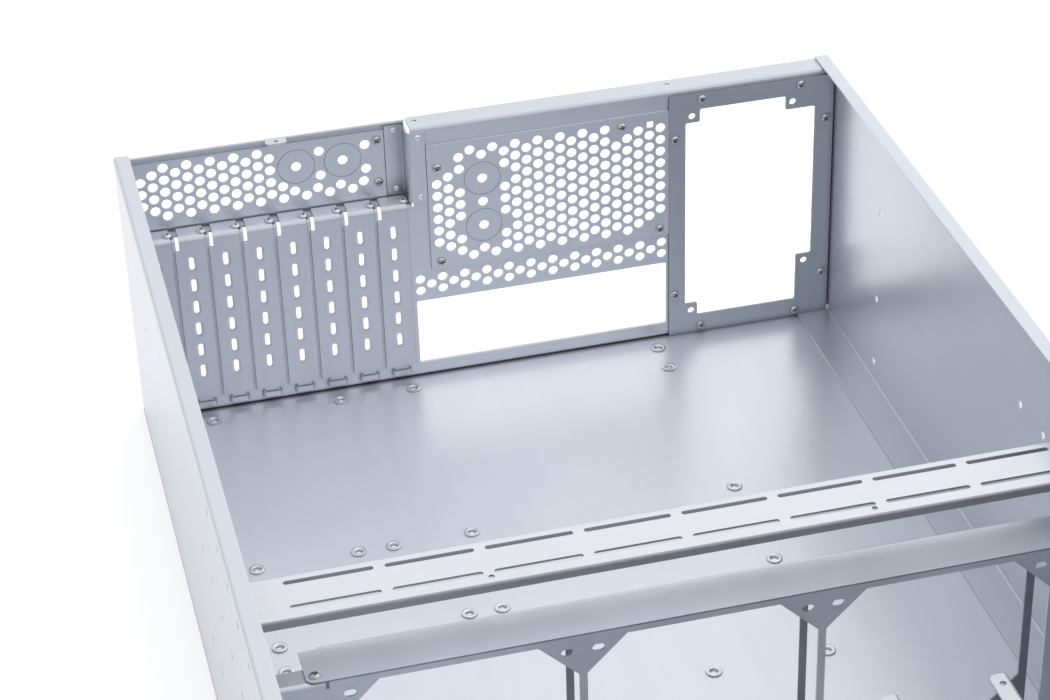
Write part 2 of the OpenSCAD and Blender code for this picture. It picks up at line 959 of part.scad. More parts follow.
module cross_bar_screws() {
    color(nickel) mirrored() for (side = [-1, 1]) {
        translate([inner_x - sheet, bar_middle_y + side * bar_screw_offset, bar_screw_z]) {
            rotate([0, -90, 0]) pan_screw(reach = 2 * sheet);
        }
    }
}

// Fan wall

// One fan's opening: a square with its corners cut off, and four slots
module fan_cut() {
    half = fan_opening / 2;
    flat = half - fan_corner;
    polygon([[-half, -flat], [-flat, -half], [flat, -half], [half, -flat],
             [half, flat], [flat, half], [-flat, half], [-half, flat]]);
    for (x = [-1, 1]) {
        for (z = [-1, 1]) {
            translate([x, z] * fan_holes / 2) obround(fan_slot_length, fan_slot_width);
        }
    }
}

module fan_cuts() {
    for (i = [-1 : 1]) translate([fan_x + i * fan_pitch, fan_z]) fan_cut();
}

// End of the front plate, from the ledge to the right wall
module fan_front_end(inner) {
    edge = inner_x - bend_radius;
    across(fan_front_y) {
        translate([inner, above_foot]) square([edge - inner, ledge_top - bend_radius - above_foot]);
    }
    along_x(inner, edge) {
        translate([fan_front_y, ledge_top]) mirror([0, 1]) angle_section(fan_foot, fold_leg);
    }
    along_z(above_foot + past, ledge_top - flange_relief) {
        translate([inner_x, fan_front_y]) mirror([1, 0]) angle_section(fold_leg, fan_foot);
    }
}

module fan_wall_front() {
    left = fan_x - ledge_inner;
    right = fan_x + ledge_inner;
    color(zinc_dark) difference() {
        union() {
            across(fan_front_y) difference() {
                translate([left, above_foot]) square([right - left, ledge_top - above_foot]);
                fan_cuts();
            }
            fan_front_end(right);
            mirror([1, 0, 0]) fan_front_end(-left);
            along_x(-foot_clear_x, foot_clear_x) {
                translate([fan_front_y, sheet]) angle_section(fan_foot, fold_leg);
            }
        }
        for (side = [-1, 1]) {
            translate([fan_x + side * ledge_screw, ledge_screw_y, ledge_top - 2 * sheet]) {
                cylinder(d = screw_shank + 2 * hole_gap, h = 3 * sheet);
            }
            translate([fan_x + side * (ledge_inner - fan_relief[0] / 2), fan_front_y,
                       ledge_top - fan_relief[1] / 2 + past / 2]) {
                cube([fan_relief[0], 3 * sheet, fan_relief[1] + past], center = true);
            }
        }
    }
}

module fan_wall_rear() {
    rear = fan_rear_y + fan_web;
    color(zinc) {
        along_z(ledge_top, fan_wall_height) difference() {
            translate([fan_x - fan_web_half, fan_front_y]) {
                square([2 * fan_web_half, 2 * fan_web_corner]);
                translate([0, fan_web_corner]) {
                    square([2 * fan_web_half, rear - fan_rear_radius - fan_front_y - fan_web_corner]);
                }
            }
            for (side = [-1, 1]) {
                translate([fan_x + side * fan_web_half, fan_front_y]) web_corner(side);
                translate([fan_x + side * ledge_screw, ledge_screw_y]) screw_holes([[0, 0]]);
            }
        }
        along_x(fan_x - fan_rear_half, fan_x + fan_rear_half) {
            translate([rear, fan_wall_height]) rotate(180) {
                angle_section(2 * fan_rear_radius, fan_rear_radius + hole_gap, fan_web,
                              fan_rear_radius);
            }
        }
        across(fan_rear_y, fan_web) difference() {
            translate([fan_x - fan_rear_half, above_foot]) {
                square([2 * fan_rear_half, fan_wall_height - fan_rear_radius - above_foot]);
            }
            fan_cuts();
        }
        difference() {
            along_x(fan_x - fan_rear_half, fan_x + fan_rear_half) {
                translate([fan_rear_y, sheet]) {
                    angle_section(fan_foot, fold_leg, fan_web);
                }
            }
            for (i = [-1 : 1]) {
                translate([fan_x + i * fan_pitch, fan_foot_screw_y, 0]) {
                    cylinder(d = screw_shank + 2 * hole_gap, h = 3 * sheet);
                }
            }
        }
    }
}

// What is cut off at the web's front corners to round them
module web_corner(side) {
    r = fan_web_corner;
    difference() {
        translate([side > 0 ? -r : -past, -past]) square([r + past, r + past]);
        translate([-side * r, r]) circle(r = r);
    }
}

module fan_wall_screws() {
    color(nickel) {
        for (side = [-1, 1]) {
            translate([fan_x + side * ledge_screw, ledge_screw_y, fan_wall_height]) {
                pan_screw(big_screw_head);
            }
        }
        for (i = [-1 : 1]) {
            translate([fan_x + i * fan_pitch, fan_foot_screw_y, sheet + fan_web]) {
                pan_screw(reach = sheet + fan_web);
            }
        }
    }
}

module fan_wall_nuts() {
    color(nickel) for (side = [-1, 1]) {
        translate([fan_x + side * ledge_screw, ledge_screw_y, ledge_top - sheet - nut_height]) {
            difference() {
                cylinder(d = nut_across / cos(30), h = nut_height, $fn = 6);
                translate([0, 0, -past]) {
                    cylinder(d = screw_shank + 2 * hole_gap, h = nut_height + 2 * past);
                }
            }
        }
    }
}

// Drive dividers, from the right

module drive_divider(i) {
    color(zinc) translate([divider_x - (i - 1) * divider_pitch, 0, 0]) difference() {
        along_y(divider_y - divider_length, divider_y) {
            translate([0, sheet]) mirror([1, 0]) {
                angle_section(divider_flange, divider_height / 2);
            }
            translate([0, divider_height]) rotate(180) {
                angle_section(divider_flange, divider_height / 2);
            }
        }
        translate([-divider_flange / 2, divider_hole_y, divider_height - 2 * sheet]) {
            cylinder(d = divider_hole, h = 3 * sheet);
        }
        translate([-divider_flange, divider_y, divider_height]) rotate([0, 0, 45]) {
            cube([2 * divider_corner, 2 * divider_corner, 3 * sheet], center = true);
        }
    }
}

// Front panel, ears and handles

module front_panel() {
    columns = (grille_columns - 1) / 2;
    rows = (grille_rows - 1) / 2;
    color(zinc) {
        across(front_y) difference() {
            translate([-case_width / 2, 0]) square([case_width, case_height - bend_radius]);
            for (i = [-columns : columns]) {
                for (k = [-rows : rows]) {
                    translate([i * grille_step[0], middle_z + k * grille_step[1]]) rotate(90) {
                        obround(grille_slot[1], grille_slot[0]);
                    }
                }
            }
            for (x = [-handle_x, handle_x]) {
                for (side = [-1, 1]) {
                    translate([x, middle_z + side * handle_span / 2]) {
                        circle(d = handle_shank + 2 * hole_gap);
                    }
                }
            }
        }
        along_x(-top_clear_x, top_clear_x) {
            translate([front_y, case_height]) mirror([0, 1]) {
                angle_section(front_flange, fold_leg);
            }
        }
    }
}

module ear() {
    wide = rack_width / 2 - case_width / 2;
    color(zinc) difference() {
        union() {
            along_z(0, case_height) translate([case_width / 2, front_y]) {
                angle_section(2 * ear_radius, ear_leg, ear_sheet, ear_radius);
            }
            across(front_y, ear_sheet) difference() {
                translate([case_width / 2 + ear_radius, 0]) {
                    square([wide - ear_radius - ear_corner, case_height]);
                    translate([0, ear_corner]) {
                        square([wide - ear_radius, case_height - 2 * ear_corner]);
                    }
                }
                for (side = [-1, 1]) {
                    translate([ear_slot_span / 2, middle_z + side * ear_slot_rise / 2]) {
                        obround(ear_slot, ear_slot_width);
                    }
                }
            }
            for (z = [ear_corner, case_height - ear_corner]) {
                translate([rack_width / 2 - ear_corner, front_y + ear_sheet, z]) {
                    rotate([90, 0, 0]) cylinder(r = ear_corner, h = ear_sheet);
                }
            }
        }
        for (y = ear_screws_y) {
            for (z = ear_screws_z) {
                translate([case_width / 2 - past, y, z]) rotate([0, 90, 0]) {
                    cylinder(d = screw_shank + 2 * hole_gap, h = ear_sheet + 2 * past);
                }
            }
        }
    }
}

module left_ear() {
    mirror([1, 0, 0]) ear();
}

module right_ear() {
    ear();
}

module ear_screws() {
    color(nickel) mirrored() for (y = ear_screws_y) {
        for (z = ear_screws_z) {
            translate([case_width / 2 + ear_sheet, y, z]) rotate([0, 90, 0]) {
                pan_screw(height = low_screw_head_height, reach = ear_sheet + sheet);
            }
        }
    }
}

// Bent bar from the panel's face, drawn upright in front of it
module handle(x) {
    straight = handle_depth - handle_bar / 2 - handle_bend;
    color(alloy) translate([x, front_y, middle_z]) difference() {
        union() {
            for (side = [0, 1]) mirror([0, 0, side]) {
                translate([0, 0, handle_span / 2]) rotate([90, 0, 0]) {
                    cylinder(d = handle_bar, h = straight);
                }
                translate([0, -straight, handle_span / 2 - handle_bend]) rotate([0, -90, 0]) {
                    rotate([0, 0, -90]) rotate_extrude(angle = 90) {
                        translate([handle_bend, 0]) circle(d = handle_bar);
                    }
                }
            }
            translate([0, -straight - handle_bend, handle_bend - handle_span / 2]) {
                cylinder(d = handle_bar, h = handle_span - 2 * handle_bend);
            }
        }
        for (side = [-1, 1]) {
            translate([0, past, side * handle_span / 2]) rotate([90, 0, 0]) {
                cylinder(d = handle_bore, h = handle_screw_depth + past);
            }
        }
    }
}

module left_handle() {
    handle(-handle_x);
}

module right_handle() {
    handle(handle_x);
}

module handle_screws() {
    color(nickel) for (x = [-handle_x, handle_x]) {
        for (side = [-1, 1]) {
            translate([x, front_y + sheet, middle_z + side * handle_span / 2]) {
                rotate([-90, 0, 0]) {
                    pan_screw(handle_head, handle_head_height, handle_bore - 2 * hole_gap,
                              handle_screw_reach);
                }
            }
        }
    }
}

base_tray();
board_nuts();
left_wall();
right_wall();
rear_panel();
corner_post();
post_rivets();
corner_vent_plate();
middle_vent_plate();
psu_plate();
corner_plate_screws();
middle_plate_screws();
psu_plate_screws();
slot_cover(1);  // slot_cover_1
slot_cover(2);  // slot_cover_2
slot_cover(3);  // slot_cover_3
slot_cover(4);  // slot_cover_4
slot_cover(5);  // slot_cover_5
slot_cover(6);  // slot_cover_6
slot_cover(7);  // slot_cover_7
slot_cover(8);  // slot_cover_8
slot_cover_screws();
cross_bar();
cross_bar_screws();
fan_wall_front();
fan_wall_rear();
fan_wall_screws();
fan_wall_nuts();
drive_divider(1);  // drive_divider_1
drive_divider(2);  // drive_divider_2
drive_divider(3);  // drive_divider_3
drive_divider(4);  // drive_divider_4
front_panel();
left_ear();
right_ear();
ear_screws();
left_handle();
right_handle();
handle_screws();
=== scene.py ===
import math

import bmesh
import bpy
from bpy.props import FloatProperty, FloatVectorProperty, PointerProperty
from mathutils import Matrix, Vector


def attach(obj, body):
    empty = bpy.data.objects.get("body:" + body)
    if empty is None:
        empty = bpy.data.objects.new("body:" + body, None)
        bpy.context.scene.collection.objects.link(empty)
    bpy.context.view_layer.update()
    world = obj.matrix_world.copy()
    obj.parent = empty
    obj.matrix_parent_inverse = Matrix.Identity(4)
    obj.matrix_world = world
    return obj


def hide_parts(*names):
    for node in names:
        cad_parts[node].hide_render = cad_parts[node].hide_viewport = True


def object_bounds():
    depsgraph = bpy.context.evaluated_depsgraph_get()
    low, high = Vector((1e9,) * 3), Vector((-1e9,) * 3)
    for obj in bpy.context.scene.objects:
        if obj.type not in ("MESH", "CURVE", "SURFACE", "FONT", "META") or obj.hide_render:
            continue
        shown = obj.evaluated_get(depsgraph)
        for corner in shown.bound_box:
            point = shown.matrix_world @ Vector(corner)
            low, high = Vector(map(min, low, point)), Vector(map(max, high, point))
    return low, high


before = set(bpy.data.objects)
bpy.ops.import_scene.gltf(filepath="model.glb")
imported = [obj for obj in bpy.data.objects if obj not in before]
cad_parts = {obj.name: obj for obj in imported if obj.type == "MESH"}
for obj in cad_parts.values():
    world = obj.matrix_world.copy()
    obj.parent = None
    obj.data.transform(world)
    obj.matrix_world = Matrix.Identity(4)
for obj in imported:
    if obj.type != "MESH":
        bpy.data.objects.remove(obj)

bl_info = {
    "name": "Server Case Looks",
    "version": (1, 0, 0),
    "blender": (4, 5, 0),
    "location": "3D View > Sidebar > Server Case",
    "description": "Finishes, fasteners and a studio for an open rack case",
    "category": "Object",
}

MM = 0.001
CAD_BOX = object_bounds()
COVERS = ["slot_cover_%d" % i for i in range(1, 9)]
DIVIDERS = ["drive_divider_%d" % i for i in range(1, 5)]

X, Y, Z = 0, 1, 2  # axes of the case: across, from front to rear, and up
LEFT, RIGHT, FRONT, REAR, UP = (-1, 0, 0), (1, 0, 0), (0, -1, 0), (0, 1, 0), (0, 0, 1)

# Waves of the zinc's patterns for each metre, across the rolling and along it
GRAIN = (160.0, 5.0)
STREAKS = (70.0, 2.5)
CLOUDS = 14.0
SHEET_WAVE = 1.2 * MM  # height of the sheets' soft unevenness

# Waves of the small fasteners' plating and of the handles' turning lines for each metre
PLATING_CLOUDS = 160.0
PLATING_SPECKS = 1400.0
TURNING = (60, 60, 2600)
SPECK_HEIGHT = 0.03 * MM
TURNING_HEIGHT = 0.04 * MM

# Where a mask starts and ends, as the cosine of an angle or the share of open sky
# Painted highlight on rounded edges, by how far the rounded normal turns from the true one
HIGHLIGHT_EDGE_SPAN = (0.8, 0.985)
# Painted light or shade on faces, by how far they turn from the flat axis
PAINTED_SIDE_SPAN = (0.85, 0.995)
# Painted shade in crevices, by the share of open sky
OPEN_SKY = (0.25, 0.85)
MIDDLE = (0.3, 0.7)  # the part of a noise that carries its contrast
EDGE_SAMPLES = 4
SKY_SAMPLES = 8

# Heads and nuts
SEGMENTS = 48
HEAD_STEPS = (0.08, 0.16, 0.24, 0.32, 0.4, 0.48, 0.56, 0.64, 0.72, 0.8, 0.87, 0.93, 0.97, 1.0)
HEAD_HEIGHT = 1.9 * MM
OTHER_HEADS = {"ear_screws": 1.6 * MM, "handle_screws": 2.4 * MM}
MIRRORED = ("cross_bar_screws", "ear_screws")  # at the left these look the other way
TURN_BETWEEN = 2.4  # radians from one screw's cross to the next
RECESS_FLANK = 0.24 * MM
RECESS_RUN_OUT = 0.6 * MM
TIP_CHAMFER = 0.3 * MM
NUT_CHAMFER = 0.35 * MM
SHARP_FROM = math.radians(40)

# Board nuts: radii, and the thread's height and steps
NUT_SHANK = 3 * MM
NUT_MOUTH = (2.9 * MM, 2.5 * MM, 2.1 * MM)
THREAD_INNER = 2.0 * MM
THREAD_HEIGHT = 0.14 * MM
THREAD_STEP = 0.22 * MM
THREAD_TURNS = 7

# Studio
FRONT_TO_REAR = (-0.75, 0.3)  # between these directions the room's light changes
LEFT_TO_RIGHT = (-0.7, 0.4)
CAMERA_PLACE = Vector((-0.31645, -1.09195, 0.94993))
CAMERA_AIM = Vector((0.0216, 0.3388, 0.0))
CAMERA_ROLL = math.radians(-1.93)
FLOOR_HALF = 6
FLOOR_GAP = 0.3 * MM
WHITE = (1, 1, 1, 1)


# Sizes and colours that a user would change

def colour(name, description, default):
    """A colour in the panel."""
    return FloatVectorProperty(name=name, description=description, default=default,
                               subtype="COLOR", size=3, min=0.0, max=1.0)


def length(name, description, default):
    """A length in the panel, in metres."""
    return FloatProperty(name=name, description=description, default=default,
                         min=0.0, unit="LENGTH", precision=5)


def share(name, description, default, highest=1.0, lowest=0.0):
    """A level or share in the panel."""
    return FloatProperty(name=name, description=description, default=default,
                         min=lowest, max=highest, subtype="FACTOR")


def power(name, description, default):
    """A lamp's power in the panel, in watts."""
    return FloatProperty(name=name, description=description, default=default,
                         min=0.0, unit="POWER")


class CaseSheets(bpy.types.PropertyGroup):
    tray: colour("Tray", "Zinc of the tray", (0.76, 0.79, 0.86))
    walls: colour("Walls", "Zinc of the side walls", (0.66, 0.69, 0.755))
    panel: colour("Rear Panel", "Zinc of the rear panel and its vent plates", (0.73, 0.765, 0.84))
    power_plate: colour("Power Supply Plate", "Zinc of the power supply's plate",
                        (0.55, 0.585, 0.645))
    covers: colour("Slot Covers", "Zinc of the slot covers", (0.7, 0.73, 0.8))
    bar: colour("Cross Bar", "Zinc of the cross bar", (0.72, 0.74, 0.79))
    fans: colour("Fan Wall", "Zinc of the fan wall", (0.79, 0.825, 0.89))
    front: colour("Front", "Zinc of the front panel, ears and dividers", (0.66, 0.69, 0.74))
    roughness: share("Roughness", "Blur of the zinc's reflections", 0.3, lowest=0.05)
    metal: share("Metal", "Share of mirror-like metal in the dull coat", 0.7)
    edge: length("Edge Rounding", "Radius that the punched edges catch light with", 0.00015)
    # The walls' and covers' radii also set how wide their painted edge highlight is.
    wall_edge: length("Wall Edge Rounding", "Radius of the walls' rolled edges", 0.0005)
    cover_edge: length("Cover Edge Rounding", "Radius of the slot covers' worn edges", 0.0003)
    # Painted shade: near seams, slots and corners the sheets are darkened, down to the crevice
    # tone.
    crevice_shade_reach: length("Crevice Reach", "How far from a seam or slot the sheet looks darker", 0.004)
    crevice_shade_tone: share("Crevice Tone", "Tone left in the deepest seam", 0.35)


class CaseFasteners(bpy.types.PropertyGroup):
    nickel: colour("Nickel", "Plating of the screws", (0.68, 0.69, 0.71))
    # The cover screws take this brighter colour as painted light, against the shade on the
    # covers' shelf.
    zinc: colour("Bright Zinc", "Plating of the nuts and the cover screws", (0.78, 0.81, 0.86))
    rivets: colour("Rivets", "Pale alloy of the rivets", (0.95, 0.96, 0.98))
    thread: length("Screw Thread", "Radius of the screws' threaded shanks", 0.0015)
    recess: length("Recess Length", "Length of a screw's cross recess", 0.0036)
    recess_width: length("Recess Width", "Width of one arm of the recess", 0.0009)
    recess_depth: length("Recess Depth", "Depth of the recess in its middle", 0.0012)
    # Painted shade in the fasteners' recesses and bores.
    recess_shade_tone: share("Recess Tone", "Tone left in the deepest recess", 0.18)


class CaseStudio(bpy.types.PropertyGroup):
    floor: colour("Floor", "Paint of the studio floor", (0.74, 0.74, 0.745))
    floor_seen: share("Floor Seen", "Glow of the floor for the camera", 0.42)
    floor_mirrored: share("Floor Mirrored", "Glow of the floor for metal", 0.36)
    sky: share("Sky", "Light of the room on dull surfaces", 0.95, 2.0)
    backdrop: share("Backdrop", "Level that metal sees behind the case", 1.05, 2.0)
    room: share("Room", "Level that metal sees behind the camera", 0.86, 2.0)
    left_side: share("Left Side", "Share of the light from the left", 0.7)
    right_side: share("Right Side", "Share of the light from the right", 1.06, 2.0)
    overhead: power("Overhead", "Power of the soft box above", 11.0)
    side: power("Side", "Power of the soft box at the right", 6.5)
    lens: FloatProperty(name="Lens", description="Focal length of the camera in millimetres",
                        default=95.2, min=10.0)


class ServerCase(bpy.types.PropertyGroup):
    sheets: PointerProperty(type=CaseSheets)
    fasteners: PointerProperty(type=CaseFasteners)
    studio: PointerProperty(type=CaseStudio)


def settings():
    """The sizes and colours of the open scene."""
    return bpy.context.scene.server_case


# Material nodes

class Nodes:
    """Short calls for the nodes of one material or world."""

    def __init__(self, tree):
        self.tree = tree
        tree.nodes.clear()

    def add(self, kind, **inputs):
        """A node with its inputs set; an underscore stands for a blank in an input's name."""
        node = self.tree.nodes.new(kind)
        for key, value in inputs.items():
            self.put(node.inputs[key.replace("_", " ")], value)
        return node

    def put(self, socket, value):
        """Links an output to a socket, or sets the socket to a value."""
        if isinstance(value, bpy.types.NodeSocket):
            self.tree.links.new(value, socket)
        else:
            socket.default_value = value

    def math(self, operation, a, b=0.0):
        """One sum on one or two numbers."""
        node = self.tree.nodes.new("ShaderNodeMath")
        node.operation = operation
        self.put(node.inputs[0], a)
        self.put(node.inputs[1], b)
        return node.outputs[0]

    def noise(self, vector, scale, detail=2.0, roughness=0.5):
        """Soft noise from 0 to 1."""
        node = self.add("ShaderNodeTexNoise", Vector=vector, Scale=scale, Detail=detail,
                        Roughness=roughness)
        return node.outputs["Fac"]

    def span(self, value, low, high, start=0.0, end=1.0):
        """Maps start to low and end to high, and holds both beyond."""
        node = self.tree.nodes.new("ShaderNodeMapRange")
        for socket, v in zip(node.inputs, (value, start, end, low, high)):
            self.put(socket, v)
        return node.outputs["Result"]

    def vector(self, operation, a, b=None):
        """One operation on one or two vectors."""
        node = self.tree.nodes.new("ShaderNodeVectorMath")
        node.operation = operation
        self.put(node.inputs[0], a)
        if b is not None:
            self.put(node.inputs[1], b)
        return node

    def stretched(self, scale=(1, 1, 1)):
        """The object's own coordinates, scaled along each axis."""
        place = self.add("ShaderNodeTexCoord").outputs["Object"]
        node = self.add("ShaderNodeMapping", Vector=place, Scale=scale)
        return node.outputs["Vector"]

    def rolled(self, axis, waves):
        """Noise drawn out along the axis that the sheet was rolled along."""
        across, along = waves
        return self.noise(self.stretched([along if k == axis else across for k in range(3)]), 1.0)

    def mix(self, factor, a, b):
        """Colour a where factor is 0 and b where it is 1."""
        node = self.tree.nodes.new("ShaderNodeMix")
        node.data_type = "RGBA"
        self.put(node.inputs["Factor"], factor)
        self.put(node.inputs["A"], a)
        self.put(node.inputs["B"], b)
        return node.outputs["Result"]

    def painted_crevice_shade(self, reach, dark, base):
        """Paints shade: darkens base to dark in corners that can't see out within reach."""
        sky = self.add("ShaderNodeAmbientOcclusion", Distance=reach)
        sky.samples = SKY_SAMPLES
        return self.mix(self.span(sky.outputs["AO"], 0.0, 1.0, *OPEN_SKY), dark, base)


def new_material(name):
    """An empty node material and its nodes."""
    material = bpy.data.materials.new(name)
    material.use_nodes = True
    return material, Nodes(material.node_tree)


def shade(rgb, k):
    """A colour made k times as bright, up to white."""
    return (min(1, rgb[0] * k), min(1, rgb[1] * k), min(1, rgb[2] * k), 1.0)


def rolled_zinc(name, rgb, along, edge=None, painted_highlight=1.0, blur=0.0, reach=None, flat=Y, painted_side_light=1.0,
                mottle=0.03):
    """Zinc-coated sheet with its rolling grain along one axis.

    painted_highlight paints a highlight on the edges that edge rounds, by lightening them that
    many times, and painted_side_light paints light (above 1) or shade (below 1) on the faces that
    don't look along the axis flat. reach is how far from a seam the painted shade reaches, or 0
    for no painted shade. blur is added to the roughness, and mottle is the cloudiness of the
    colour.
    """
    sheets = settings().sheets
    material, nodes = new_material(name)
    grain = nodes.rolled(along, GRAIN)
    streaks = nodes.rolled(along, STREAKS)
    clouds = nodes.noise(nodes.stretched(), CLOUDS, 4.0, 0.55)
    tone = nodes.math("ADD", nodes.math("MULTIPLY", nodes.math("ADD", streaks, grain), 0.25),
                      nodes.math("MULTIPLY", clouds, 0.5))
    base = nodes.mix(nodes.span(tone, 0.0, 1.0, *MIDDLE),
                     shade(rgb, 1 - mottle), shade(rgb, 1 + mottle))
    round_edge = nodes.add("ShaderNodeBevel", Radius=edge or sheets.edge)
    round_edge.samples = EDGE_SAMPLES
    true = nodes.add("ShaderNodeNewGeometry").outputs["True Normal"]
    # Painted highlight: the edges that the bevel rounds are lightened.
    if painted_highlight != 1:
        bent = nodes.vector("DOT_PRODUCT", round_edge.outputs["Normal"], true).outputs["Value"]
        base = nodes.mix(nodes.span(bent, 1.0, 0.0, *HIGHLIGHT_EDGE_SPAN), base, shade(rgb, painted_highlight))
    # Painted light or shade: faces that don't look along flat are made lighter or darker.
    if painted_side_light != 1:
        along_flat = nodes.add("ShaderNodeSeparateXYZ", Vector=true).outputs[flat]
        scaled = nodes.vector("SCALE", base)
        nodes.put(scaled.inputs["Scale"],
                  nodes.span(nodes.math("ABSOLUTE", along_flat), painted_side_light, 1.0, *PAINTED_SIDE_SPAN))
        base = scaled.outputs["Vector"]
    # Painted shade: near seams, slots and corners the sheet is darkened.
    if reach != 0:
        base = nodes.painted_crevice_shade(reach or sheets.crevice_shade_reach, shade(rgb, sheets.crevice_shade_tone), base)
    level = sheets.roughness + blur
    rough = nodes.span(clouds, level - 0.02, level + 0.03, *MIDDLE)
    bump = nodes.add("ShaderNodeBump", Strength=0.5, Distance=SHEET_WAVE, Height=clouds,
                     Normal=round_edge.outputs["Normal"])
    surface = nodes.add("ShaderNodeBsdfPrincipled", Base_Color=base, Metallic=sheets.metal,
                        Roughness=rough, Normal=bump.outputs["Normal"])
    nodes.add("ShaderNodeOutputMaterial", Surface=surface.outputs["BSDF"])
    return material


def plated(name, rgb, low, high, metal=1.0, reach=1.5 * MM):
    """Barrel plating of the small fasteners, between two roughnesses, with painted shade in the
    recesses.
    """
    known = bpy.data.materials.get(name)
    if known:
        return known
    material, nodes = new_material(name)
    specks = nodes.noise(nodes.stretched(), PLATING_SPECKS, 3.0)
    clouds = nodes.noise(nodes.stretched(), PLATING_CLOUDS)
    plating = nodes.mix(nodes.span(clouds, 0.0, 1.0, 0.35, 0.65),
                        shade(rgb, 0.88), shade(rgb, 1.08))
    # Painted shade in the recesses and bores.
    base = nodes.painted_crevice_shade(reach, shade(rgb, settings().fasteners.recess_shade_tone), plating)
    bump = nodes.add("ShaderNodeBump", Strength=0.2, Distance=SPECK_HEIGHT, Height=specks)
    surface = nodes.add("ShaderNodeBsdfPrincipled", Base_Color=base, Metallic=metal,
                        Roughness=nodes.span(specks, low, high, *MIDDLE),
                        Normal=bump.outputs["Normal"])
    nodes.add("ShaderNodeOutputMaterial", Surface=surface.outputs["BSDF"])
    return material


def bright_nickel():
    """Plating of most screws."""
    return plated("bright_nickel", settings().fasteners.nickel, 0.16, 0.28)


def cover_nickel_painted_light():
    """Plating of the slot covers' screws, brighter than the other screws: painted light against
    the shade on the covers' shelf.
    """
    return plated("cover_nickel_painted_light", settings().fasteners.zinc, 0.16, 0.28)


def bright_zinc():
    """Plating of the nuts."""
    return plated("bright_zinc", settings().fasteners.zinc, 0.14, 0.24, reach=2.5 * MM)


def rivet_alloy():
    """Pale metal of the rivets."""
    return plated("rivet_alloy", settings().fasteners.rivets, 0.2, 0.32, 0.6)


def satin_alloy():
    """Satin anodised bar of the handles, with fine turning lines."""
    material, nodes = new_material("satin_alloy")
    lines = nodes.noise(nodes.stretched(TURNING), 1.0)
    bump = nodes.add("ShaderNodeBump", Strength=0.15, Distance=TURNING_HEIGHT, Height=lines)
    surface = nodes.add("ShaderNodeBsdfPrincipled",
                        Base_Color=nodes.mix(lines, (0.66, 0.67, 0.69, 1), (0.76, 0.77, 0.79, 1)),
                        Metallic=1.0, Roughness=nodes.span(lines, 0.26, 0.36, *MIDDLE),
                        Normal=bump.outputs["Normal"])
    nodes.add("ShaderNodeOutputMaterial", Surface=surface.outputs["BSDF"])
    return material


# Pieces

def give(material, *names):
    """Puts a material in the slots of CAD nodes."""
    for name in names:
        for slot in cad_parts[name].material_slots:
            slot.material = material


def solids(name):
    """Lowest and highest corner of each closed solid of a CAD node."""
    bm = bmesh.new()
    bm.from_mesh(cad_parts[name].data)
    bmesh.ops.remove_doubles(bm, verts=bm.verts, dist=1e-6)
    left = set(bm.verts)
    boxes = []
    while left:
        front = [left.pop()]
        found = list(front)
        while front:
            for link in front.pop().link_edges:
                for v in link.verts:
                    if v in left:
                        left.discard(v)
                        front.append(v)
                        found.append(v)
        low = Vector([min(v.co[k] for v in found) for k in range(3)])
        high = Vector([max(v.co[k] for v in found) for k in range(3)])
        boxes.append((low, high))
    bm.free()
    return sorted(boxes, key=lambda b: (round(b[0].x, 4), round(b[0].y, 4), round(b[0].z, 4)))


def piece(name, bm, material, slot, *nodes):
    """Makes a mesh piece that rides on the case and stands for CAD nodes."""
    bmesh.ops.recalc_face_normals(bm, faces=bm.faces)
    mesh = bpy.data.meshes.new(name)
    bm.to_mesh(mesh)
    bm.free()
    mesh.shade_smooth()
    mesh.set_sharp_from_angle(angle=SHARP_FROM)
    obj = bpy.data.objects.new(name, mesh)
    bpy.context.scene.collection.objects.link(obj)
    mesh.materials.append(material)
    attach(obj, "root")
    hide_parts(*nodes)


def turned(radius, angle, height, place):
    """Point at a radius and angle round the local Z axis of place."""
    return place @ Vector((radius * math.cos(angle), radius * math.sin(angle), height))


def angles(count):
    """Even angles of one turn."""
    return [2 * math.pi * i / count for i in range(count)]


def bridge(bm, a, b):
    """Faces between two closed rings of as many vertices."""
    n = len(a)
    for i in range(n):
        bm.faces.new((a[i], a[(i + 1) % n], b[(i + 1) % n], b[i]))


def lathe(bm, profile, place, count=SEGMENTS):
    """Turns (radius, height) points round the local Z axis of place, open at both ends."""
    rings = [[bm.verts.new(turned(r, angle, z, place)) for angle in angles(count)]
             for r, z in profile]
    for a, b in zip(rings, rings[1:]):
        bridge(bm, a, b)
    return rings


def facing(point, direction, turn=0.0):
    """Matrix whose Z axis points along direction, turned about it."""
    way = Vector(direction).to_track_quat("Z", "Y").to_matrix().to_4x4()
    return Matrix.Translation(point) @ way @ Matrix.Rotation(turn, 4, "Z")


def foot(low, high):
    """Matrix at the middle of a solid's lowest face."""
    return Matrix.Translation(((low.x + high.x) / 2, (low.y + high.y) / 2, low.z))


def recess_depth_at(x, y, sizes):
    """Depth of the tapered cross recess at a point of the head."""
    depth = 0.0
    for along, across in ((x, y), (y, x)):
        side = (sizes.recess_width / 2 + RECESS_FLANK / 2 - abs(across)) / RECESS_FLANK
        end = (sizes.recess / 2 - abs(along)) / RECESS_RUN_OUT
        depth = max(depth, min(1, max(0, side)) * min(1, max(0, end)))
    return depth * sizes.recess_depth


